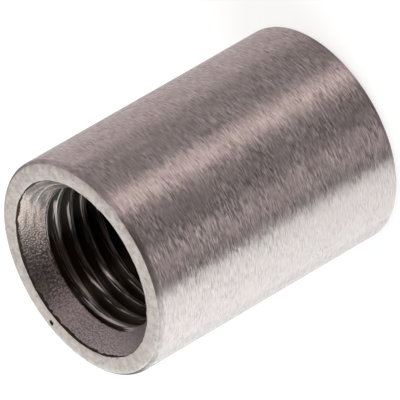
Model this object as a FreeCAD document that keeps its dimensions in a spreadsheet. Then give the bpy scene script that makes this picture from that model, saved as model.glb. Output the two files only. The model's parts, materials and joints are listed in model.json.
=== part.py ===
import FreeCAD, Part
import os
import Sketcher

# Pipe socket: a plain round coupling, turned as one piece, that joins two threaded pipe ends.
# It stands on one end face, with its axis along +Z and the origin at the centre of that face.

# Driving sizes in millimetres, each with the alias of its cell
SIZES = (
    # Outside diameter of the standard quarter-inch parallel pipe thread
    ("thread_major_diameter", 13.157),
    # How deep the thread is cut into the drilled bore
    ("thread_depth", 0.7),
    # Metal left between the bottom of the thread and the outer wall
    ("wall_behind_thread", 2.32),
    # From one end face to the other
    ("overall_length", 24.2),
    # How far each mouth opens beyond the thread, so that a pipe end finds its way in
    ("mouth_clearance", 0.74),
    # How far each mouth's cone runs into the bore
    ("countersink_depth", 1.85),
    # Rounding of the outer edge at each end
    ("rim_radius", 0.45),
)

# Dimensions of the half section, worked out from the driving sizes
BORE_RADIUS = "Sizes.thread_major_diameter / 2 - Sizes.thread_depth"
MOUTH_RADIUS = "Sizes.thread_major_diameter / 2 + Sizes.mouth_clearance"
OUTER_RADIUS = "Sizes.thread_major_diameter / 2 + Sizes.wall_behind_thread"
LENGTH = "Sizes.overall_length"
CONE_DEPTH = "Sizes.countersink_depth"
RIM_RADIUS = "Sizes.rim_radius"

# Corner numbers that a sketch gives to a line, and its origin
START = 1
END = 2
ORIGIN = (-1, 1)

FULL_TURN = 360
NODE = "socket_body"


def add_sizes(doc):
    """Put the driving sizes in a sheet, one to a row."""
    sheet = doc.addObject("Spreadsheet::Sheet", "Sizes")
    for row, (alias, value) in enumerate(SIZES, start=1):
        sheet.set(f"A{row}", alias)
        sheet.set(f"B{row}", str(value))
        sheet.setAlias(f"B{row}", alias)
    doc.recompute()
    return sheet


def origin_plane(body, role):
    """Find one of the body's own origin planes."""
    return next(item for item in body.Origin.OriginFeatures if item.Role == role)


def add_half_section(body, sheet):
    """Draw what a cut along the axis shows on one side: two cones, two end faces and two straight walls."""
    sketch = body.newObject("Sketcher::SketchObject", "HalfSection")
    sketch.AttachmentSupport = [(origin_plane(body, "XZ_Plane"), "")]
    sketch.MapMode = "FlatFace"

    thread_radius = sheet.thread_major_diameter / 2
    bore = thread_radius - sheet.thread_depth
    mouth = thread_radius + sheet.mouth_clearance
    outer = thread_radius + sheet.wall_behind_thread
    length = sheet.overall_length
    cone = sheet.countersink_depth
    corners = (
        (bore, cone),
        (mouth, 0),
        (outer, 0),
        (outer, length),
        (mouth, length),
        (bore, length - cone),
    )
    points = [FreeCAD.Vector(radius, height, 0) for radius, height in corners]
    lines = [
        sketch.addGeometry(Part.LineSegment(point, points[(index + 1) % len(points)]))
        for index, point in enumerate(points)
    ]
    for line, following in zip(lines, lines[1:] + lines[:1]):
        sketch.addConstraint(Sketcher.Constraint("Coincident", line, END, following, START))

    lower_cone, lower_face, outer_wall, upper_face, upper_cone, bore_wall = lines
    for face in (lower_face, upper_face):
        sketch.addConstraint(Sketcher.Constraint("Horizontal", face))
    for wall in (outer_wall, bore_wall):
        sketch.addConstraint(Sketcher.Constraint("Vertical", wall))
    # Both mouths have the same width, and the lower face lies on the ground
    sketch.addConstraint(Sketcher.Constraint("Vertical", lower_face, START, upper_face, END))
    sketch.addConstraint(Sketcher.Constraint("PointOnObject", lower_face, START, -1))

    dimensions = (
        ("bore_radius", "DistanceX", (*ORIGIN, lower_cone, START), bore, BORE_RADIUS),
        ("mouth_radius", "DistanceX", (*ORIGIN, lower_face, START), mouth, MOUTH_RADIUS),
        ("outer_radius", "DistanceX", (*ORIGIN, lower_face, END), outer, OUTER_RADIUS),
        ("length", "DistanceY", (outer_wall, START, outer_wall, END), length, LENGTH),
        ("lower_cone_depth", "DistanceY", (lower_cone, END, lower_cone, START), cone, CONE_DEPTH),
        ("upper_cone_depth", "DistanceY", (upper_cone, END, upper_cone, START), cone, CONE_DEPTH),
    )
    for name, kind, ends, value, expression in dimensions:
        index = sketch.addConstraint(Sketcher.Constraint(kind, *ends, value))
        sketch.renameConstraint(index, name)
        sketch.setExpression(f"Constraints.{name}", expression)
    return sketch


def turn_body(body, sketch):
    """Turn the half section about the socket's axis."""
    turned = body.newObject("PartDesign::Revolution", "TurnedBody")
    turned.Profile = sketch
    turned.ReferenceAxis = (sketch, ["V_Axis"])
    turned.Angle = FULL_TURN
    return turned


def round_rims(body, turned, outer_radius):
    """Round the outer edge of both end faces."""
    nearness = Part.Precision.confusion()
    circles = [
        (f"Edge{number}", edge.Curve.Radius)
        for number, edge in enumerate(turned.Shape.Edges, start=1)
        if isinstance(edge.Curve, Part.Circle)
    ]
    rims = [name for name, radius in circles if abs(radius - outer_radius) < nearness]
    rounded = body.newObject("PartDesign::Fillet", "RoundedRims")
    rounded.Base = (turned, rims)
    rounded.setExpression("Radius", RIM_RADIUS)
    return rounded


def check_built(doc, body):
    """Stop if any step failed or the solid isn't whole."""
    failed = [item.Label for item in doc.Objects if {"Invalid", "Error"} & set(item.State)]
    if failed:
        raise RuntimeError(f"these steps failed: {failed}")
    shape = body.Shape
    if shape.isNull() or not shape.isValid() or len(shape.Solids) != 1:
        raise RuntimeError(f"{body.Label} isn't one valid solid")


def build():
    """Build the socket and write its solid."""
    doc = FreeCAD.newDocument("PipeSocket")
    sheet = add_sizes(doc)
    body = doc.addObject("PartDesign::Body", "SocketBody")
    body.Label = NODE
    sketch = add_half_section(body, sheet)
    turned = turn_body(body, sketch)
    doc.recompute()
    outer_radius = sketch.getDatum("outer_radius").Value
    round_rims(body, turned, outer_radius)
    doc.recompute()
    check_built(doc, body)
    os.makedirs("parts", exist_ok=True)
    body.Shape.exportStep(f"parts/{body.Label}.step")


build()
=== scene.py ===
"""Pipe socket: the finish of a turned and tapped stainless socket, on a plain studio floor."""

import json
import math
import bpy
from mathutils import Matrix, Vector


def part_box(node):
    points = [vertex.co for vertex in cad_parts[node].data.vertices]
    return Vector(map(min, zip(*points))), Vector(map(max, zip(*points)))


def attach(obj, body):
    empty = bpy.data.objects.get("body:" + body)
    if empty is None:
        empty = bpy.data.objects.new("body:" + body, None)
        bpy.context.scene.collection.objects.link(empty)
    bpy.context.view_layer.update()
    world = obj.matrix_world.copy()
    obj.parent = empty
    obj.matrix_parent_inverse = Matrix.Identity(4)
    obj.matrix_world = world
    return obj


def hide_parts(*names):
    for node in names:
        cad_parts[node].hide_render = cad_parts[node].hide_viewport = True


bl_info = {
    "name": "Pipe Socket",
    "version": (1, 0, 0),
    "blender": (4, 5, 0),
    "location": "3D View > Sidebar > Pipe Socket",
    "description": "Builds a turned and tapped stainless pipe socket and a plain studio stage for it",
    "category": "Add Mesh",
}

import bmesh
import bpy
from mathutils import Matrix, Vector, noise

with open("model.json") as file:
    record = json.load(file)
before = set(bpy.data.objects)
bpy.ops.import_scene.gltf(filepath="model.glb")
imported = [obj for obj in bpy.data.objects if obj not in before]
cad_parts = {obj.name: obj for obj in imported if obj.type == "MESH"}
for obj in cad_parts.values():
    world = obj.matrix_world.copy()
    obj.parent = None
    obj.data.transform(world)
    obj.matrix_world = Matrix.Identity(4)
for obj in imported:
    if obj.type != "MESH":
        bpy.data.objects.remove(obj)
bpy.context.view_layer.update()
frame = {"record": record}

MM = 0.001
TURN = 2 * math.pi
NODE = "socket_body"
BODY = "root"
MOUNTS = {mount["name"]: mount for mount in frame["record"]["mounts"]}

# Sizes that the frame already holds
LOW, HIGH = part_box(NODE)
LENGTH = HIGH.z - LOW.z
OUTER_RADIUS = max(HIGH.x, HIGH.y, -LOW.x, -LOW.y)
BORE_RADIUS = MOUNTS["upper_thread"]["dims"]["r_mm"] * MM
BORE_LENGTH = MOUNTS["upper_thread"]["dims"]["length_mm"] * MM

# Material numbers on the socket's mesh
WALL, RIM, FACE, CONE, THREAD, GRIME, MARK = range(7)


def hex_colour(code):
    """Turn an sRGB hex value into the linear colour that a shader takes."""
    channels = [int(code[place:place + 2], 16) / 255 for place in (0, 2, 4)]
    return tuple(c / 12.92 if c <= 0.04045 else ((c + 0.055) / 1.055) ** 2.4 for c in channels)


def length_prop(name, description, default):
    """A size in metres."""
    return bpy.props.FloatProperty(
        name=name,
        description=description,
        default=default,
        min=0,
        precision=6,
        subtype="DISTANCE",
        unit="LENGTH",
    )


def angle_prop(name, description, degrees):
    """An angle, written in degrees."""
    return bpy.props.FloatProperty(
        name=name,
        description=description,
        default=math.radians(degrees),
        subtype="ANGLE",
        unit="ROTATION",
    )


def count_prop(name, description, default, least):
    """A whole number of steps."""
    return bpy.props.IntProperty(name=name, description=description, default=default, min=least)


def colour_prop(name, description, code):
    """A colour, written as an sRGB hex value."""
    return bpy.props.FloatVectorProperty(
        name=name,
        description=description,
        default=hex_colour(code),
        min=0,
        max=1,
        subtype="COLOR",
    )


class SocketSizes(bpy.types.PropertyGroup):
    """Sizes of the socket. Depths are taken from the upper face."""

    length: length_prop("Length", "From one end face to the other", LENGTH)
    outer_radius: length_prop("Outer radius", "Radius of the outer wall", OUTER_RADIUS)
    bore_radius: length_prop("Bore radius", "Radius at the crests of the thread", BORE_RADIUS)
    cone_depth: length_prop("Cone depth", "How far each mouth's cone runs in", (LENGTH - BORE_LENGTH) / 2)
    mouth_radius: length_prop("Mouth radius", "Radius of each mouth at the end face", 7.3185 * MM)
    rim_radius: length_prop("Rim radius", "Rounding of the outer edge at each end", 0.45 * MM)
    pitch: length_prop("Pitch", "Advance of the thread in one turn", 1.337 * MM)
    root_radius: length_prop("Root radius", "Radius at the bottom of the thread", 13.157 / 2 * MM)
    root_rounding: length_prop("Root rounding", "Rounding at the bottom of the thread", 0.1837 * MM)
    flank_angle: angle_prop("Flank angle", "Slope of each side of the thread", 27.5)
    crest_rounding: length_prop("Crest rounding", "How soft the edges of the crests are", 0.07 * MM)
    first_groove: length_prop("First groove", "Depth of the first groove, on +X", 2.49 * MM)
    full_thread: length_prop("Full thread", "Depth at which the crests are full", 2.1 * MM)
    lead_angle: angle_prop("Lead angle", "How fast the crests open out above that", 12)
    full_groove: length_prop("Full groove", "Depth at which the groove is full", 2.08 * MM)
    run_out_angle: angle_prop("Run-out angle", "How fast the groove dies away above that", 60)
    face_crown: length_prop("Face crown", "How far each end face falls away towards its edges", 0.04 * MM)
    # The gap is coloured nearly black, with dirt and painted shade
    burr_gap: length_prop("Burr gap", "Height of the dirty gap under the burr at each mouth", 0.14 * MM)
    burr_reach: length_prop("Burr reach", "How far that gap runs in under the burr", 0.07 * MM)
    burr_middle: angle_prop("Burr middle", "Angle round the axis at the middle of the gap's open part", 80)
    burr_wander: length_prop("Burr wander", "How far the burr's edge strays from a circle", 0.06 * MM)
    mark_depth: length_prop("Tool mark depth", "Depth of the ridge that a tool left, on +X", 0.99 * MM)
    mark_drop: length_prop("Tool mark drop", "How much deeper the ridge lies a turn on", 1.34 * MM)
    mark_start: angle_prop("Tool mark start", "Angle round the axis at which the ridge starts", -20)
    mark_end: angle_prop("Tool mark end", "Angle round the axis at which the ridge ends", 34)
    mark_width: length_prop("Tool mark width", "Width of the ridge", 0.09 * MM)
    mark_height: length_prop("Tool mark height", "How far the ridge stands out of the cone", 0.04 * MM)
    pit_angle: angle_prop("Pit angle", "Angle round the axis of the pit in the upper face", 107)
    pit_radius: length_prop("Pit radius", "Distance of the pit from the axis", 8.05 * MM)
    pit_width: length_prop("Pit width", "Width of the pit", 0.42 * MM)
    pit_depth: length_prop("Pit depth", "Depth of the pit", 0.25 * MM)
    segments: count_prop("Segments", "Steps in one turn", 224, 24)
    rows: count_prop("Rows", "Steps along one pitch of the thread", 16, 8)


class SocketColours(bpy.types.PropertyGroup):
    """Colours of the socket's surfaces and of the stage."""

    wall: colour_prop("Wall", "Turned outer wall", "A99C9A")
    wall_dark: colour_prop("Wall grain", "Shaded side of the wall's turning marks", "7A6C6F")
    wall_cast: colour_prop("Wall cast", "The same side where the metal has a greyer cast", "776F6A")
    face: colour_prop("Face", "Faced ends", "C7BEB9")
    face_dark: colour_prop("Face stain", "Stains on the faced ends", "ADA49F")
    face_speck: colour_prop("Face speck", "Specks of dirt on the faced ends", "90857E")
    cone: colour_prop("Cone", "Pickled cone of each mouth", "857A7B")
    # Painted shade in the hollows between the cone's grains
    cone_dark: colour_prop("Cone pits", "Hollows between the grains of each cone", "6A6061")
    # A painted highlight along the tool mark's crest
    mark: colour_prop("Tool mark", "Ridge that a tool left on the upper cone, rubbed clean", "B4AAA4")
    # The film colours are painted shade over the +X side of the cones, deepest between the grains and towards
    # the upper mouth, with wavy lines further out; the lighter one also colours the specks on the tool mark
    film: colour_prop("Oil film", "Film of dried oil on one side of the mouths and the thread", "6F5F59")
    film_dark: colour_prop("Thick oil film", "The same film where it has run together", "3D3430")
    thread: colour_prop("Thread", "Tapped thread", "8E8682")
    # Crests on the +X side are darker: painted shade
    thread_film: colour_prop("Filmed thread", "Tapped thread under the film of oil", "7F7571")
    # Cutting oil and painted shade, darkening the thread's roots and flanks
    thread_dark: colour_prop("Thread root", "Cutting oil and swarf dust in the thread's root", "241A12")
    # Dirt and painted shade in the gaps under the burrs and in the pit
    grime: colour_prop("Grime", "Dirt under the burrs and in the pit", "281B12")
    floor: colour_prop("Floor", "Pale studio floor", "FFFBF9")
    studio: colour_prop("Studio", "What the unlit studio throws back", "8C7F80")


# The socket's section


def soft_max(first, second, width):
    """The larger of two values, with the corner between them rounded over about the width."""
    return (first + second + math.hypot(first - second, width)) / 2


def groove_radius(sizes, offset):
    """Radius of a full groove's wall at a distance along the axis from the middle of the groove."""
    slope = math.tan(sizes.flank_angle)
    rounded_to = sizes.root_rounding * math.cos(sizes.flank_angle)
    centre = sizes.root_radius - sizes.root_rounding
    if offset < rounded_to:
        return centre + math.sqrt(sizes.root_rounding ** 2 - offset ** 2)
    flank_top = centre + sizes.root_rounding * math.sin(sizes.flank_angle)
    return flank_top - (offset - rounded_to) / slope


def thread_radius(sizes, angle, depth):
    """Radius of the tapped bore at an angle round the axis and a depth below the upper face."""
    turns = (depth - sizes.first_groove) / sizes.pitch + angle / TURN
    offset = abs(turns - round(turns)) * sizes.pitch
    run_out = max(0, sizes.full_groove - depth) * math.tan(sizes.run_out_angle)
    lead = max(0, sizes.full_thread - depth) * math.tan(sizes.lead_angle)
    groove = groove_radius(sizes, offset) - run_out
    crest = sizes.bore_radius + lead
    rounding = sizes.crest_rounding
    return soft_max(groove, crest, rounding) - rounding ** 2 / sizes.pitch


def cone_radius(sizes, depth):
    """Radius of a mouth's cone at a depth below its own face."""
    share = min(1, depth / sizes.cone_depth)
    return sizes.mouth_radius + (sizes.bore_radius - sizes.mouth_radius) * share


def mark_line(sizes, angle):
    """Depth of a line round each cone: it follows the tool mark, then goes back over the rest of the turn."""
    marked = sizes.mark_end - sizes.mark_start
    along = (angle - sizes.mark_start) % TURN
    share = along / marked if along < marked else (TURN - along) / (TURN - marked)
    return sizes.mark_depth + sizes.mark_drop * (sizes.mark_start + marked * share) / TURN


def mark_ridge(sizes, angle, depth):
    """How far the tool mark stands out of the upper cone at an angle and a depth below the upper face."""
    end_bluntness = 0.5
    if not sizes.mark_start < angle < sizes.mark_end:
        return 0
    across = (depth - mark_line(sizes, angle)) / (sizes.mark_width / 2)
    along = (angle - sizes.mark_start) / (sizes.mark_end - sizes.mark_start)
    return sizes.mark_height * math.exp(-across ** 2) * math.sin(along * math.pi) ** end_bluntness


def inner_radius(sizes, angle, depth):
    """Radius of the inside, where the cone or the thread has taken more metal away."""
    nearest_face = min(depth, sizes.length - depth)
    cone = cone_radius(sizes, nearest_face) - mark_ridge(sizes, angle, depth)
    return max(cone, thread_radius(sizes, angle, depth))


def uneven(angle, bumps, layer):
    """A value between -1 and 1 that wanders round the axis, with about so many bumps in a turn."""
    reach = bumps / TURN
    return noise.noise(Vector((reach * math.cos(angle), reach * math.sin(angle), layer)))


# Ripples in the gap under a burr: how many lie in a turn, how strong they are, and the layer of noise
GAP_RIPPLES = (
    (8, 0.3, 0.5),
    (40, 0.4, 1.5),
    (130, 0.9, 4.5),
)


def burr_depth(sizes, angle, level):
    """Depth of a level in the gap under a mouth's burr: 0 is the burr's edge, and 1 the gap's floor."""
    least_height = 0.25
    least_openness = 0.1
    opening_speed = 4
    opening_shift = 0.5
    wander = sum(strength * uneven(angle, bumps, layer) for bumps, strength, layer in GAP_RIPPLES)
    # The gap is open over a little more than half a turn, and all but closed over the rest
    opening = opening_speed * math.cos(angle - sizes.burr_middle) + opening_shift
    openness = min(1, max(least_openness, opening))
    return sizes.face_crown + sizes.burr_gap * max(least_height, 1 + wander) * openness * level


# The socket's mesh

# Edges that bend more than this are drawn sharp
SHARP_ANGLE = math.radians(35)


class Skin:
    """Vertices and faces of a closed skin, gathered ring by ring round the Z axis."""

    def __init__(self, segments):
        self.vertices = []
        self.faces = []
        self.materials = []
        # The rings start on the side of the bore that the view doesn't show, where a seam would be hidden
        self.angles = [TURN * step / segments - TURN / 4 for step in range(segments)]

    def vertex(self, radius, angle, height):
        """Add one vertex."""
        self.vertices.append((radius * math.cos(angle), radius * math.sin(angle), height))
        return len(self.vertices) - 1

    def ring(self, place):
        """Add a ring, where place gives the radius and height at each angle."""
        ring = []
        for angle in self.angles:
            radius, height = place(angle)
            ring.append(self.vertex(radius, angle, height))
        return ring

    def face(self, corners, material):
        """Add a face, leaving out corners that fall together."""
        kept = [corner for place, corner in enumerate(corners) if corner != corners[place - 1]]
        if len(kept) > 2:
            self.faces.append(kept)
            self.materials.append(material)

    def bridge(self, first, second, material):
        """Join two rings with a band of faces, and return the second ring."""
        for step in range(len(self.angles)):
            self.face((first[step - 1], first[step], second[step], second[step - 1]), material)
        return second


def spaced(start, end, steps):
    """Evenly spaced values after the start, up to and including the end."""
    return [start + (end - start) * step / steps for step in range(1, steps + 1)]


def skin_thread(skin, sizes, upper, lower):
    """Join the rings at the ends of the bore with rows that follow the thread, to keep its crests crisp."""
    top = sizes.cone_depth
    bottom = sizes.length - sizes.cone_depth
    step = sizes.pitch / sizes.rows
    # A corner closer than this to an end of the bore falls on that end's ring
    nearness = step / 4
    count = len(skin.angles)
    made = {}

    def corner(row, column):
        if column == count:
            return corner(row - sizes.rows, 0)
        depth = top + row * step - sizes.pitch * column / count
        if depth < top + nearness:
            return upper[column]
        if depth > bottom - nearness:
            return lower[column]
        if (row, column) not in made:
            angle = skin.angles[column]
            radius = thread_radius(sizes, angle, depth)
            made[row, column] = skin.vertex(radius, angle, sizes.length - depth)
        return made[row, column]

    last_row = math.ceil((bottom - top + sizes.pitch) / step) + 1
    for row in range(last_row):
        for column in range(count):
            corners = (
                corner(row, column),
                corner(row, column + 1),
                corner(row + 1, column + 1),
                corner(row + 1, column),
            )
            skin.face(corners, THREAD)


def skin_end(skin, sizes, upper):
    """Make one end from the bore's last ring to the wall: cone, burr, end face and rounded rim."""
    cone_steps = 36
    gap_levels = (0.8, 0.3)
    edge_bumps = 90
    edge_layer = 3.5
    face_steps = 8
    crown_power = 3
    rim_steps = 10
    faced_rim_steps = 2
    # The rim's arc takes over at the slope with which the crowned face ends
    face_width = sizes.outer_radius - sizes.rim_radius - sizes.mouth_radius
    fall_angle = math.atan(2 * crown_power * sizes.face_crown / face_width)
    face_radius = sizes.outer_radius - sizes.rim_radius * (1 - math.sin(fall_angle))

    def height(depth):
        return sizes.length - depth if upper else depth

    def cone(level):
        """A ring on the cone: level 0 is the bore, 1 the tool mark's line and 2 the gap under the burr."""
        def place(angle):
            line = mark_line(sizes, angle)
            end = sizes.cone_depth if level < 1 else burr_depth(sizes, angle, 1)
            depth = line + (end - line) * abs(level - 1)
            below_upper = depth if upper else sizes.length - depth
            return inner_radius(sizes, angle, below_upper), height(depth)
        return skin.ring(place)

    def under_burr(level):
        """A ring at the back of the gap under the burr, at a share of the gap's height."""
        def place(angle):
            depth = burr_depth(sizes, angle, level)
            return cone_radius(sizes, depth) + sizes.burr_reach, height(depth)
        return skin.ring(place)

    def face(share):
        """A ring on the end face, a share of the way from the burr's edge to the rim."""
        def place(angle):
            edge = sizes.mouth_radius + sizes.burr_wander * uneven(angle, edge_bumps, edge_layer)
            fall = sizes.face_crown * abs(2 * share - 1) ** crown_power
            return edge + (face_radius - edge) * share, height(fall)
        return skin.ring(place)

    bore_ring = cone(0)
    ring = bore_ring
    for level in spaced(0, 2, cone_steps):
        ring = skin.bridge(ring, cone(level), CONE)
    # The gap under the burr: dirt and painted shade, nearly black
    for level in gap_levels:
        ring = skin.bridge(ring, under_burr(level), GRIME)
    ring = skin.bridge(ring, face(0), GRIME)
    for share in spaced(0, 1, face_steps):
        ring = skin.bridge(ring, face(share), FACE)
    for step, bend in enumerate(spaced(fall_angle, TURN / 4, rim_steps)):
        radius = sizes.outer_radius - sizes.rim_radius * (1 - math.sin(bend))
        depth = sizes.face_crown + sizes.rim_radius * (math.cos(fall_angle) - math.cos(bend))
        finish = FACE if step < faced_rim_steps else RIM
        ring = skin.bridge(ring, skin.ring(lambda angle: (radius, height(depth))), finish)
    return bore_ring, ring


def skin_wall(skin, sizes, upper, lower):
    """Make the straight outer wall between the two rims."""
    wall_steps = 20
    top = sizes.length - sizes.rim_radius
    ring = upper
    for height in spaced(top, sizes.rim_radius, wall_steps)[:-1]:
        ring = skin.bridge(ring, skin.ring(lambda angle: (sizes.outer_radius, height)), WALL)
    skin.bridge(ring, lower, WALL)


def sink_pit(work, sizes):
    """Sink the pit into the upper face of the mesh that is being worked on."""
    cuts = 3
    raggedness = 0.5
    lobe_scale = 2
    steepness = 4
    grime_from = sizes.pit_depth / 10
    centre = Vector((math.cos(sizes.pit_angle), math.sin(sizes.pit_angle), 0)) * sizes.pit_radius
    centre.z = sizes.length

    def around(width):
        faced = [face for face in work.faces if face.material_index == FACE]
        return [face for face in faced if (face.calc_center_median() - centre).length < width]

    edges = {edge for face in around(sizes.pit_width) for edge in face.edges}
    bmesh.ops.subdivide_edges(work, edges=list(edges), cuts=cuts, use_grid_fill=True)
    for vertex in work.verts:
        out = vertex.co - centre
        wander = 1 + raggedness * noise.noise(out.normalized() * lobe_scale)
        share = out.length / (sizes.pit_width / 2 * wander)
        if share < 1:
            vertex.co.z -= sizes.pit_depth * (1 - share ** steepness)
    # The pit's deeper faces get dirt and painted shade
    for face in around(sizes.pit_width):
        if sizes.length - face.calc_center_median().z > grime_from:
            face.material_index = GRIME


def rub_mark(work, sizes):
    """Paint a highlight along the crest of the tool mark, in a paler colour."""
    for face in work.faces:
        if face.material_index == CONE:
            middle = face.calc_center_median()
            angle = math.atan2(middle.y, middle.x)
            across = abs(sizes.length - middle.z - mark_line(sizes, angle))
            if sizes.mark_start < angle < sizes.mark_end and across < sizes.mark_width / 2:
                face.material_index = MARK


def socket_mesh(sizes):
    """Make the socket's closed mesh."""
    skin = Skin(sizes.segments)
    upper_bore, upper_wall = skin_end(skin, sizes, upper=True)
    lower_bore, lower_wall = skin_end(skin, sizes, upper=False)
    skin_wall(skin, sizes, upper_wall, lower_wall)
    skin_thread(skin, sizes, upper_bore, lower_bore)

    mesh = bpy.data.meshes.new("socket")
    mesh.from_pydata(skin.vertices, [], skin.faces)
    mesh.polygons.foreach_set("material_index", skin.materials)
    mesh.polygons.foreach_set("use_smooth", [True] * len(skin.faces))
    work = bmesh.new()
    work.from_mesh(mesh)
    sink_pit(work, sizes)
    rub_mark(work, sizes)
    bmesh.ops.recalc_face_normals(work, faces=work.faces)
    work.to_mesh(mesh)
    work.free()
    mesh.set_sharp_from_angle(angle=SHARP_ANGLE)
    mesh.validate()
    return mesh


# Materials

# The range that shares run over
WHOLE = (0.0, 1.0)

# A quarter turn, which draws reflections out across the tools' marks
ACROSS = 0.25

# Roughness of the dark and of the light streaks, on the linished wall and on the rims that the belt missed
LINISHED_ROUGHNESS = (0.58, 0.27)
TURNED_ROUGHNESS = (0.64, 0.54)


def add_node(tree, kind, settings=None, inputs=None):
    """Add a shader node, set its settings, and set or link its inputs."""
    node = tree.nodes.new(kind)
    for name, value in (settings or {}).items():
        setattr(node, name, value)
    for name, value in (inputs or {}).items():
        if isinstance(value, bpy.types.NodeSocket):
            tree.links.new(value, node.inputs[name])
        else:
            node.inputs[name].default_value = value
    return node


def new_material(name):
    """Start an empty node material and return it with its tree."""
    material = bpy.data.materials.new(name)
    material.use_nodes = True
    material.node_tree.nodes.clear()
    return material, material.node_tree


def opaque(colour):
    """Add full opacity to a colour."""
    return (*colour, 1)


def object_place(tree):
    """Where each spot lies on the socket."""
    return add_node(tree, "ShaderNodeTexCoord").outputs["Object"]


def round_axis(tree):
    """The direction round the socket's axis, which the tools' marks follow."""
    return add_node(tree, "ShaderNodeTangent", {"direction_type": "RADIAL", "axis": "Z"}).outputs["Tangent"]


def drawn_out(tree, place, length, width):
    """Coordinates for noise whose streaks are so long round the axis and so wide along it."""
    return add_node(tree, "ShaderNodeVectorMath", {"operation": "MULTIPLY"}, {
        0: place,
        1: (1 / length, 1 / length, 1 / width),
    }).outputs["Vector"]


def calculate(tree, operation, *values, clamp=False):
    """Work out one value from others."""
    settings = {"operation": operation, "use_clamp": clamp}
    return add_node(tree, "ShaderNodeMath", settings, dict(enumerate(values))).outputs["Value"]


def ramp(tree, value, span, result=WHOLE):
    """Turn a value that runs over a span into a result, which stays still beyond the span's ends."""
    return add_node(tree, "ShaderNodeMapRange", inputs={
        "Value": value,
        "From Min": span[0],
        "From Max": span[1],
        "To Min": result[0],
        "To Max": result[1],
    }).outputs["Result"]


def blend(tree, share, first, second):
    """Blend two colours: the first where the share is 0, and the second where it is 1."""
    return add_node(tree, "ShaderNodeMix", {"data_type": "RGBA"}, {
        "Factor": share,
        6: first,
        7: second,
    }).outputs[2]


def relief(tree, height, strength, depth):
    """The normal of a surface with fine relief of about that depth."""
    return add_node(tree, "ShaderNodeBump", inputs={
        "Strength": strength,
        "Distance": depth,
        "Height": height,
    }).outputs["Normal"]


def add_surface(tree, inputs):
    """Add the material's one shader and its output."""
    shader = add_node(tree, "ShaderNodeBsdfPrincipled", inputs=inputs)
    add_node(tree, "ShaderNodeOutputMaterial", inputs={"Surface": shader.outputs["BSDF"]})


def turned_stainless(name, colours, streak_roughness):
    """Stainless steel, turned and then linished with a belt while it spins.

    The eye sees short fine streaks round the wall, and light that is drawn out along the axis."""
    material, tree = new_material(name)
    streak_length = 0.65 * MM
    streak_width = 0.1 * MM
    streak_middle = 0.5
    patch_size = 1.6 * MM
    patch_span = (0.3, 0.7)
    bite_range = (1.0, 2.8)
    tone_range = (0.44, 0.56)
    cast_span = (0.35, 0.65)
    lean = 0.11
    place = object_place(tree)
    streaks = add_node(tree, "ShaderNodeTexNoise", inputs={
        "Vector": drawn_out(tree, place, streak_length, streak_width),
        "Scale": 1.0,
        "Detail": 2.0,
        "Roughness": 0.6,
    })
    chances = add_node(tree, "ShaderNodeSeparateColor", inputs={"Color": streaks.outputs["Color"]})
    # The belt bit harder in some patches than in others, and left a slightly different cast
    patches = add_node(tree, "ShaderNodeTexNoise", inputs={"Vector": place, "Scale": 1 / patch_size})
    patch = add_node(tree, "ShaderNodeSeparateColor", inputs={"Color": patches.outputs["Color"]})
    bite = ramp(tree, patch.outputs["Red"], patch_span, bite_range)
    tone = ramp(tree, patch.outputs["Blue"], patch_span, tone_range)
    cast = ramp(tree, patch.outputs["Green"], cast_span)
    evened = calculate(tree, "SUBTRACT", chances.outputs["Green"], streak_middle)
    shade = calculate(tree, "MULTIPLY_ADD", evened, bite, tone, clamp=True)
    dark = blend(tree, cast, opaque(colours.wall_dark), opaque(colours.wall_cast))
    # Each streak leans a little to one side, which frays the edges of every reflection
    tangent = round_axis(tree)
    leaned = add_node(tree, "ShaderNodeVectorMath", {"operation": "MULTIPLY_ADD"}, {
        0: tangent,
        1: calculate(tree, "MULTIPLY_ADD", chances.outputs["Red"], 2 * lean, -lean),
        2: add_node(tree, "ShaderNodeNewGeometry").outputs["Normal"],
    })
    normal = add_node(tree, "ShaderNodeVectorMath", {"operation": "NORMALIZE"}, {
        0: leaned.outputs["Vector"],
    })
    # The lighter a streak, the smoother it is, so that the grain shows most where the wall is dim
    add_surface(tree, {
        "Base Color": blend(tree, shade, dark, opaque(colours.wall)),
        "Metallic": 1.0,
        "Roughness": ramp(tree, shade, WHOLE, streak_roughness),
        "Anisotropic": 1.0,
        "Anisotropic Rotation": ACROSS,
        "Tangent": tangent,
        "Normal": normal.outputs["Vector"],
    })
    return material


def faced_stainless(name, clean, stained, speck):
    """Stainless steel, faced with a tool and tumbled: pale and matt, with faint stains and a few specks."""
    material, tree = new_material(name)
    stain_size = 0.4 * MM
    stain_span = (0.3, 0.6)
    speck_size = 0.28 * MM
    speck_span = (0.66, 0.84)
    relief_strength = 0.2
    relief_depth = 0.04 * MM
    place = object_place(tree)
    stains = add_node(tree, "ShaderNodeTexNoise", inputs={
        "Vector": place,
        "Scale": 1 / stain_size,
        "Detail": 4.0,
        "Roughness": 0.6,
    }).outputs["Fac"]
    dirt = add_node(tree, "ShaderNodeTexNoise", inputs={
        "Vector": place,
        "Scale": 1 / speck_size,
        "Detail": 1.0,
    }).outputs["Fac"]
    tint = blend(tree, ramp(tree, stains, stain_span), opaque(stained), opaque(clean))
    add_surface(tree, {
        "Base Color": blend(tree, ramp(tree, dirt, speck_span), tint, opaque(speck)),
        "Metallic": 1.0,
        "Roughness": 0.85,
        "Normal": relief(tree, stains, relief_strength, relief_depth),
    })
    return material


def oil_film(tree, place):
    """How far each spot takes on the darker colour that is painted shade on the +X side: none on -X, and all
    but a little on +X.
    """
    film_span = (-2.6 * MM, 1 * MM)
    film_cover = (0.0, 0.85)
    axes = add_node(tree, "ShaderNodeSeparateXYZ", inputs={"Vector": place})
    return ramp(tree, axes.outputs["X"], film_span, film_cover)


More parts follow.
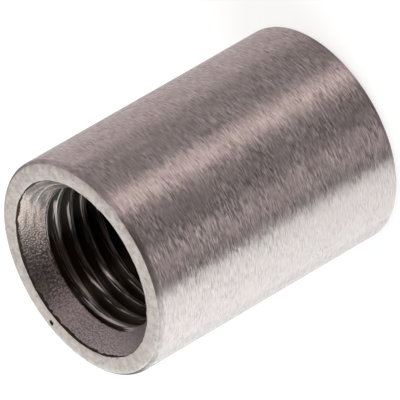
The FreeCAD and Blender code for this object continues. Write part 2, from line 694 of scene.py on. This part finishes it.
def pickled_stainless(sizes, colours):
    """Stainless steel, pickled in acid after the cone was cut.

    The eye sees an even skin of tiny pebbles, with painted shade in the hollows between them, and a darker
    film of painted shade over the +X side."""
    material, tree = new_material("pickled_stainless")
    pebble_size = 0.16 * MM
    pebble_span = (0.3, 0.85)
    relief_strength = 1.0
    relief_depth = 0.035 * MM
    run_length = 2.2 * MM
    run_width = 0.28 * MM
    run_span = (0.4, 0.56)
    drowned_span = (3.5 * MM, 5.5 * MM)
    hollow_span = (0.4, 0.6)
    mouth_span = (sizes.length - 1.5 * MM, sizes.length - 0.5 * MM)
    thinness = (1.0, 0.25)
    place = object_place(tree)
    axes = add_node(tree, "ShaderNodeSeparateXYZ", inputs={"Vector": place})
    cells = add_node(tree, "ShaderNodeTexVoronoi", {"feature": "SMOOTH_F1"}, {
        "Vector": place,
        "Scale": 1 / pebble_size,
        "Smoothness": 0.5,
    })
    pebbles = calculate(tree, "SUBTRACT", 1.0, cells.outputs["Distance"])
    # Each grain is paler at its top, with painted shade in the hollows between the grains
    tint = blend(tree, ramp(tree, pebbles, pebble_span), opaque(colours.cone_dark), opaque(colours.cone))
    # The film, painted shade, is thin on the pebbles and thick between them, and thicker towards the upper
    # mouth
    thinnest = ramp(tree, axes.outputs["Z"], mouth_span, thinness)
    over_pebbles = ramp(tree, pebbles, hollow_span, (0.0, thinnest))
    # Far out on +X it covers the pebbles, and lies in wavy lines round the mouth
    runs = add_node(tree, "ShaderNodeTexNoise", inputs={
        "Vector": drawn_out(tree, place, run_length, run_width),
        "Scale": 1.0,
        "Detail": 3.0,
        "Distortion": 0.4,
    }).outputs["Fac"]
    thin_share = add_node(tree, "ShaderNodeMix", inputs={
        "Factor": ramp(tree, axes.outputs["X"], drowned_span),
        2: over_pebbles,
        3: ramp(tree, runs, run_span),
    }).outputs[0]
    # The film's colours are painted shade, darkest where the film is thick
    film = blend(tree, thin_share, opaque(colours.film_dark), opaque(colours.film))
    add_surface(tree, {
        # Painted shade over the +X side of the cone
        "Base Color": blend(tree, oil_film(tree, place), tint, film),
        "Metallic": 1.0,
        "Roughness": 0.5,
        "Normal": relief(tree, pebbles, relief_strength, relief_depth),
    })
    return material


def tapped_stainless(sizes, colours):
    """Stainless steel, cut with a tap: lined bright crests, a little darker on +X with painted shade, over
    flanks and roots darkened with cutting oil and painted shade.
    """
    material, tree = new_material("tapped_stainless")
    # The tap's own lines are finer, and are drawn this coarse so that they show
    line_length = 3 * MM
    line_width = 0.1 * MM
    line_span = (0.4, 0.6)
    relief_strength = 0.9
    relief_depth = 0.05 * MM
    oil_reach = (0.0, 0.4 * MM)
    first_turn = (sizes.length - 3.2 * MM, sizes.length - 2.3 * MM)
    wiping = (0.0, -0.2 * MM)
    soil_span = (sizes.bore_radius + 0.16 * MM, sizes.bore_radius + 0.28 * MM)
    bareness = (1.0, 0.2)
    place = object_place(tree)
    axes = add_node(tree, "ShaderNodeSeparateXYZ", inputs={"Vector": place})
    lines = add_node(tree, "ShaderNodeTexNoise", inputs={
        "Vector": drawn_out(tree, place, line_length, line_width),
        "Scale": 1.0,
        "Detail": 2.0,
    }).outputs["Fac"]
    level = add_node(tree, "ShaderNodeVectorMath", {"operation": "MULTIPLY"}, {0: place, 1: (1, 1, 0)})
    radius = add_node(tree, "ShaderNodeVectorMath", {"operation": "LENGTH"}, {0: level.outputs["Vector"]})
    # The oil and painted shade reach farther from the roots towards the crests on some lines than on others,
    # and less far on the first turn
    wiped_off = ramp(tree, axes.outputs["Z"], first_turn, wiping)
    wiped = calculate(tree, "ADD", radius.outputs["Value"], wiped_off)
    reached = calculate(tree, "ADD", wiped, ramp(tree, lines, line_span, oil_reach))
    soiled = ramp(tree, reached, soil_span)
    # Painted shade on the crests on the +X side
    crest = blend(tree, oil_film(tree, place), opaque(colours.thread), opaque(colours.thread_film))
    # Where the oil and painted shade lie thick, little of the metal shows through
    bare = ramp(tree, soiled, WHOLE, bareness)
    add_surface(tree, {
        # Cutting oil and painted shade darken the roots and flanks
        "Base Color": blend(tree, soiled, crest, opaque(colours.thread_dark)),
        "Metallic": bare,
        "Specular IOR Level": 0.15,
        "Roughness": 0.34,
        "Anisotropic": 1.0,
        "Anisotropic Rotation": ACROSS,
        "Tangent": round_axis(tree),
        "Normal": relief(tree, lines, relief_strength, relief_depth),
    })
    return material


def packed_grime(colours):
    """Dried oil and metal dust with painted shade, in the gaps under the burrs and in the pit: dull and
    nearly black.
    """
    material, tree = new_material("packed_grime")
    grain_size = 0.1 * MM
    relief_strength = 0.5
    relief_depth = 0.03 * MM
    grains = add_node(tree, "ShaderNodeTexNoise", inputs={
        "Vector": object_place(tree),
        "Scale": 1 / grain_size,
    })
    add_surface(tree, {
        "Base Color": opaque(colours.grime),
        "Roughness": 0.9,
        "Specular IOR Level": 0.2,
        "Normal": relief(tree, grains.outputs["Fac"], relief_strength, relief_depth),
    })
    return material


# The stage


class SocketStage(bpy.types.PropertyGroup):
    """The camera's place and the level of the studio light."""

    elevation: angle_prop("Elevation", "How far the camera looks down", 31.33)
    roll: angle_prop("Roll", "How far the camera is turned about its line of sight", -120.12)
    floor_size: length_prop("Floor size", "Side of the studio floor", 3.0)
    studio_light: bpy.props.FloatProperty(
        name="Studio light",
        description="Level of what the unlit studio throws back",
        default=0.02,
        min=0,
    )


# Where the upper end face's centre lies in a picture of this width, and how large the outer radius is there
PICTURE_WIDTH = 400
FACE_CENTRE_PIXEL = (80.45, 269.63)
PIXELS_PER_RADIUS = 119.64
# The camera stands far off, as the nearly parallel sides show
CAMERA_DISTANCE_IN_RADII = 80
SENSOR_WIDTH_MM = 36


def add_camera(stage, sizes):
    """Place the camera so that the upper end face falls on its pixel, at its size."""
    camera = bpy.data.objects.new("camera", bpy.data.cameras.new("camera"))
    bpy.context.collection.objects.link(camera)
    look = Vector((0, math.cos(stage.elevation), -math.sin(stage.elevation)))
    level_right = Vector((1, 0, 0))
    level_up = level_right.cross(look)
    right = level_right * math.cos(stage.roll) + level_up * math.sin(stage.roll)
    up = level_up * math.cos(stage.roll) - level_right * math.sin(stage.roll)
    middle = PICTURE_WIDTH / 2
    across = (FACE_CENTRE_PIXEL[0] - middle) / PIXELS_PER_RADIUS * sizes.outer_radius
    down = (FACE_CENTRE_PIXEL[1] - middle) / PIXELS_PER_RADIUS * sizes.outer_radius
    face_centre = Vector((0, 0, sizes.length))
    distance = CAMERA_DISTANCE_IN_RADII * sizes.outer_radius
    turn = Matrix((right, up, -look)).transposed()
    place = face_centre - across * right + down * up - distance * look
    camera.matrix_world = Matrix.Translation(place) @ turn.to_4x4()
    lens_in_sensor_widths = CAMERA_DISTANCE_IN_RADII * PIXELS_PER_RADIUS / PICTURE_WIDTH
    camera.data.sensor_width = SENSOR_WIDTH_MM
    camera.data.lens = lens_in_sensor_widths * SENSOR_WIDTH_MM
    camera.data.clip_end = 2 * stage.floor_size
    bpy.context.scene.camera = camera


def add_floor(stage, colours):
    """Lay a plain pale floor, larger than any view shows.

    The camera and the metal see it part way to plain white: it is even, and still holds the shadow."""
    whiteness = 0.7
    half = stage.floor_size / 2
    mesh = bpy.data.meshes.new("floor")
    corners = [(-half, -half, 0), (half, -half, 0), (half, half, 0), (-half, half, 0)]
    mesh.from_pydata(corners, [], [(0, 1, 2, 3)])
    floor = bpy.data.objects.new("floor", mesh)
    bpy.context.collection.objects.link(floor)
    material, tree = new_material("matt_floor_paper")
    paper = add_node(tree, "ShaderNodeBsdfDiffuse", inputs={"Color": opaque(colours.floor)})
    white = add_node(tree, "ShaderNodeEmission", inputs={"Color": (1, 1, 1, 1), "Strength": 1.0})
    path = add_node(tree, "ShaderNodeLightPath")
    in_metal = path.outputs["Is Glossy Ray"]
    mirrored = calculate(tree, "MAXIMUM", in_metal, path.outputs["Is Transmission Ray"])
    seen = calculate(tree, "MAXIMUM", path.outputs["Is Camera Ray"], mirrored)
    surface = add_node(tree, "ShaderNodeMixShader", inputs={
        0: calculate(tree, "MULTIPLY", seen, whiteness),
        1: paper.outputs["BSDF"],
        2: white.outputs["Emission"],
    })
    add_node(tree, "ShaderNodeOutputMaterial", inputs={"Surface": surface.outputs["Shader"]})
    mesh.materials.append(material)


# Distance of every softbox from the socket
LAMP_DISTANCE = 0.5

# Colours of the softboxes: a little cool on the left, and a little rosy or warm on the right and in front
DAYLIGHT = "ECFDFE"
NEUTRAL = "FFFFFF"
ROSE = "FFF4F8"
WARM = "FFF6F2"
PALE_ROSE = "FFFAFB"

# Softboxes: name, then azimuth, elevation, width and height in degrees as the socket sees them,
# then brightness and colour
SOFTBOXES = (
    ("left", 181, 15, 62, 26, 11.7, DAYLIGHT),
    ("left_high", 165, 42, 50, 24, 2.6, NEUTRAL),
    ("left_back", 136, 15, 28, 26, 8.5, DAYLIGHT),
    ("back", 90, 25, 24, 26, 1.7, NEUTRAL),
    ("right", 31, 15, 58, 26, 2.45, PALE_ROSE),
    ("right_high", 29, 42, 54, 24, 1.75, PALE_ROSE),
    ("right_top", 0, 62, 44, 24, 2.4, PALE_ROSE),
    ("right_front", -24, 32, 34, 30, 0.2, NEUTRAL),
    ("front_right_strip", -56, 22, 20, 42, 5.0, WARM),
    ("front_fill", -75, 22, 14, 42, 0.35, ROSE),
    ("front_left_strip", -120, 6, 26, 10, 5.6, ROSE),
    ("top", 30, 78, 30, 30, 1.2, NEUTRAL),
)


def add_softbox(name, azimuth, elevation, width, height, brightness, colour):
    """Hang a softbox that faces the socket. A brightness of 1 is white."""
    lamp = bpy.data.lights.new(name, "AREA")
    lamp.color = hex_colour(colour)
    lamp.shape = "RECTANGLE"
    lamp.size = 2 * LAMP_DISTANCE * math.tan(math.radians(width / 2))
    lamp.size_y = 2 * LAMP_DISTANCE * math.tan(math.radians(height / 2))
    lamp.energy = brightness * math.pi * lamp.size * lamp.size_y
    softbox = bpy.data.objects.new(name, lamp)
    bpy.context.collection.objects.link(softbox)
    turn = math.radians(azimuth)
    rise = math.radians(elevation)
    away = Vector((math.cos(turn) * math.cos(rise), math.sin(turn) * math.cos(rise), math.sin(rise)))
    softbox.location = away * LAMP_DISTANCE
    softbox.rotation_euler = away.to_track_quat("Z", "Y").to_euler()


def light_studio(stage, colours):
    """Light the studio: softboxes, and a dim even level from the room."""
    for softbox in SOFTBOXES:
        add_softbox(*softbox)
    world = bpy.data.worlds.new("studio")
    bpy.context.scene.world = world
    world.use_nodes = True
    tree = world.node_tree
    tree.nodes.clear()
    room = add_node(tree, "ShaderNodeBackground", inputs={
        "Color": opaque(colours.studio),
        "Strength": stage.studio_light,
    })
    add_node(tree, "ShaderNodeOutputWorld", inputs={"Surface": room.outputs["Background"]})


# Operators and panel


class SOCKET_OT_body(bpy.types.Operator):
    """Build the socket in place of its plain solid"""

    bl_idname = "socket.body"
    bl_label = "Build Socket"

    def execute(self, context):
        sizes = context.scene.socket_sizes
        colours = context.scene.socket_colours
        mesh = socket_mesh(sizes)
        finishes = {
            WALL: turned_stainless("turned_linished_stainless", colours, LINISHED_ROUGHNESS),
            RIM: turned_stainless("turned_stainless", colours, TURNED_ROUGHNESS),
            FACE: faced_stainless("faced_stainless", colours.face, colours.face_dark, colours.face_speck),
            CONE: pickled_stainless(sizes, colours),
            THREAD: tapped_stainless(sizes, colours),
            GRIME: packed_grime(colours),
            # A painted highlight along the tool mark's crest
            MARK: faced_stainless("mark_highlight_stainless", colours.mark, colours.cone, colours.film),
        }
        for number in sorted(finishes):
            mesh.materials.append(finishes[number])
        socket = bpy.data.objects.new("socket", mesh)
        context.collection.objects.link(socket)
        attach(socket, BODY)
        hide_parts(NODE)
        return {"FINISHED"}


class SOCKET_OT_stage(bpy.types.Operator):
    """Set up the floor, the light and the camera"""

    bl_idname = "socket.stage"
    bl_label = "Set Stage"

    def execute(self, context):
        scene = context.scene
        add_floor(scene.socket_stage, scene.socket_colours)
        light_studio(scene.socket_stage, scene.socket_colours)
        add_camera(scene.socket_stage, scene.socket_sizes)
        scene.view_settings.view_transform = "Standard"
        return {"FINISHED"}


class SOCKET_PT_panel(bpy.types.Panel):
    """Sizes, colours and stage of the socket"""

    bl_idname = "SOCKET_PT_panel"
    bl_label = "Pipe Socket"
    bl_space_type = "VIEW_3D"
    bl_region_type = "UI"
    bl_category = "Pipe Socket"

    def draw(self, context):
        scene = context.scene
        for group in (scene.socket_sizes, scene.socket_colours, scene.socket_stage):
            column = self.layout.column()
            for name in group.__annotations__:
                column.prop(group, name)
        self.layout.operator(SOCKET_OT_body.bl_idname)
        self.layout.operator(SOCKET_OT_stage.bl_idname)


CLASSES = (SocketSizes, SocketColours, SocketStage, SOCKET_OT_body, SOCKET_OT_stage, SOCKET_PT_panel)


def register():
    for each in CLASSES:
        bpy.utils.register_class(each)
    bpy.types.Scene.socket_sizes = bpy.props.PointerProperty(type=SocketSizes)
    bpy.types.Scene.socket_colours = bpy.props.PointerProperty(type=SocketColours)
    bpy.types.Scene.socket_stage = bpy.props.PointerProperty(type=SocketStage)


def unregister():
    del bpy.types.Scene.socket_stage
    del bpy.types.Scene.socket_colours
    del bpy.types.Scene.socket_sizes
    for each in reversed(CLASSES):
        bpy.utils.unregister_class(each)


def main():
    """Build the socket and its stage."""
    register()
    bpy.ops.socket.body()
    bpy.ops.socket.stage()


if __name__ == "__main__":
    main()
